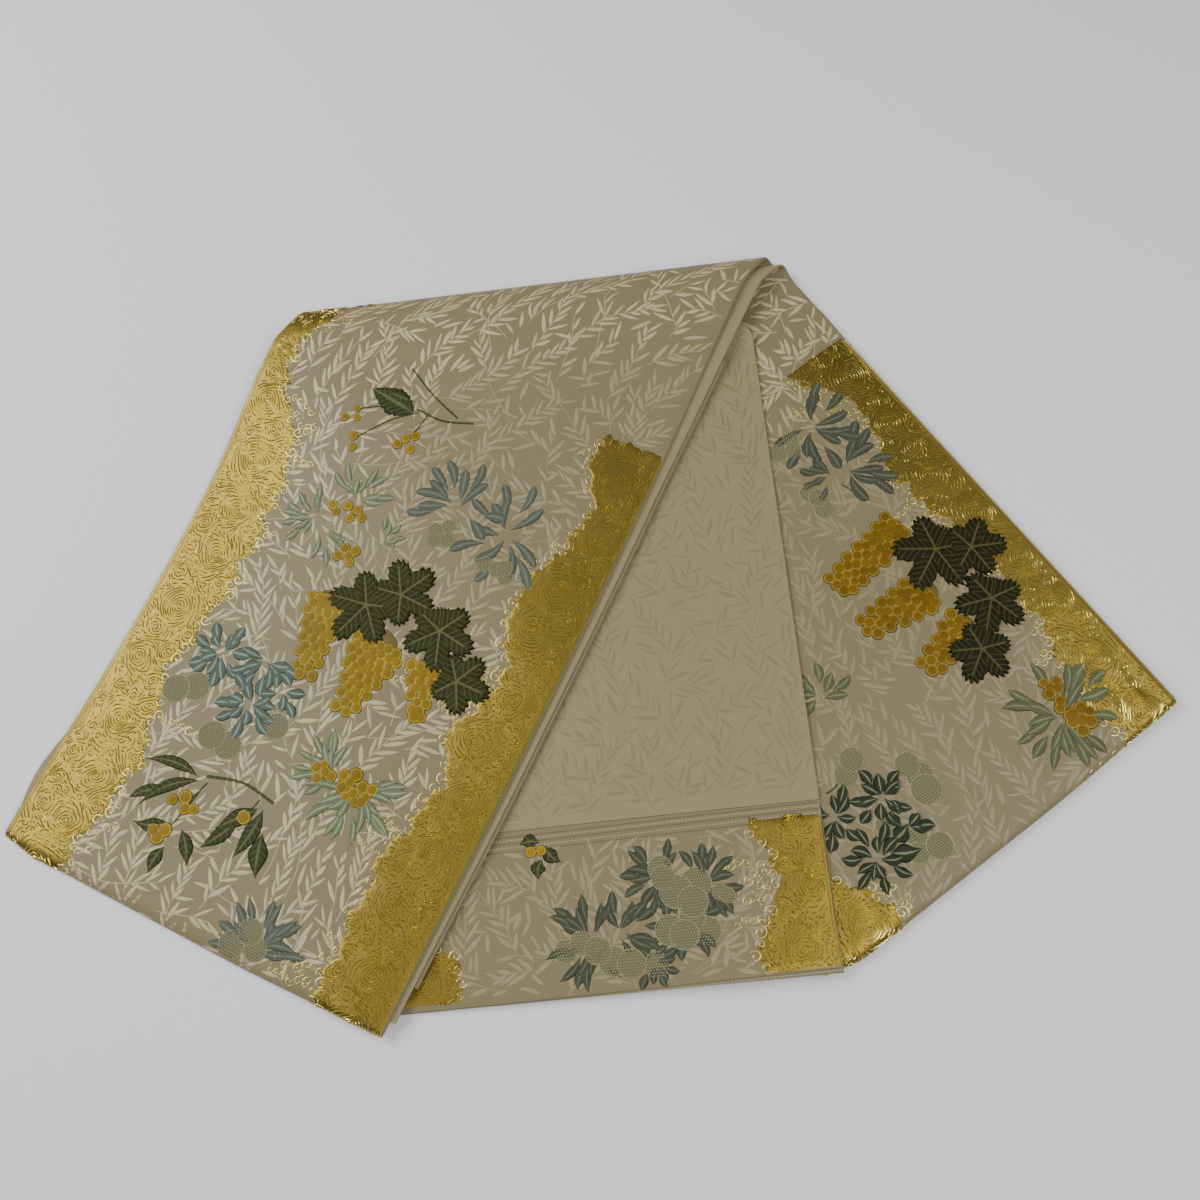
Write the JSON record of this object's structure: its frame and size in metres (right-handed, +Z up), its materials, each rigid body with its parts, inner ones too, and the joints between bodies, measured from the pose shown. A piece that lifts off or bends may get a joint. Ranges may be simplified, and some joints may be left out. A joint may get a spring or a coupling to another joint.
{
  "type": "obi sash",
  "caption": "Wide doubled silk sash folded up and laid flat: fanned legs below one soft roll, with a woven leaf and fruit pattern and a gold border.",
  "frame": {"origin": "on the surface it lies on, under the middle of the whole folded sash", "axes": "+Z up from the surface; +X along the roll, from the left leg's side to the right leg's; +Y from the legs' ends towards the roll"},
  "size_m": [0.8311, 0.5498, 0.024],
  "materials": {
    "left_front_cloth": "figured silk, beige ground with woven gold border",
    "left_back_cloth": "plain-backed figured silk",
    "left_inner_layers": "layered figured silk",
    "right_back_cloth": "plain-backed figured silk",
    "right_front_cloth": "figured silk, beige ground with woven gold border",
    "right_inner_layers": "layered figured silk",
    "end_back_cloth": "figured silk with tone-on-tone leaves",
    "end_front_cloth": "figured silk, beige ground with woven gold border"
  },
  "bodies": {
    "root": {"left_front_cloth": "left_front_cloth", "left_back_cloth": "left_back_cloth", "left_inner_layers": "left_inner_layers", "right_back_cloth": "right_back_cloth", "right_front_cloth": "right_front_cloth", "right_inner_layers": "right_inner_layers", "end_back_cloth": "end_back_cloth", "end_front_cloth": "end_front_cloth"}
  },
  "joints": []
}
